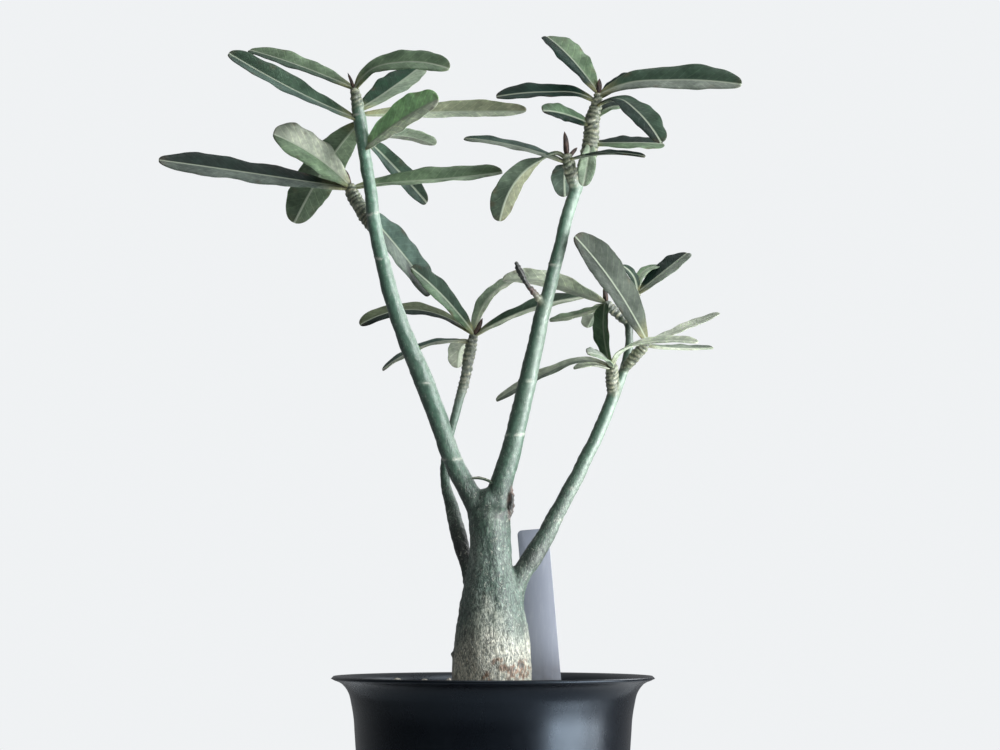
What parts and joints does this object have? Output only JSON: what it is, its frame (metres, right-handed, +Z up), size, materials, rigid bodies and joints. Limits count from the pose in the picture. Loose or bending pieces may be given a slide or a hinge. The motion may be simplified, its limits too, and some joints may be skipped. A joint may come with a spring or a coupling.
{
  "type": "potted desert rose adenium",
  "caption": "Desert rose with a swollen trunk and smooth forking branches ending in spoon-leaved rosettes, set in a flared round pot of gritty mix beside a bare plant label.",
  "frame": {"origin": "the pot's axis at the flat underside the pot rests on", "axes": "+Z up through the plant, -Y towards the side that the picture shows, +X to that side's right"},
  "size_m": [0.2682, 0.15, 0.4289],
  "materials": {
    "pot": "satin black injection-moulded plastic",
    "potting_mix": "loose pumice, lava and clay grit",
    "plant_label": "satin grey plastic strip, bare",
    "bark": "smooth grey-green living bark, pale and finely fissured at the base",
    "leaves": "leathery dark green leaves with a satin sheen"
  },
  "bodies": {
    "root": {"pot": "pot", "potting_mix": "potting_mix", "plant_label": "plant_label", "trunk_and_branches": "bark", "left_top_shoot": "leaves", "left_side_shoot": "leaves", "right_top_shoot": "leaves", "right_side_shoot": "leaves", "rear_shoot": "leaves", "low_top_shoot": "leaves", "low_left_shoot": "leaves", "low_right_shoot": "leaves", "low_twig_shoot": "leaves"}
  },
  "joints": []
}
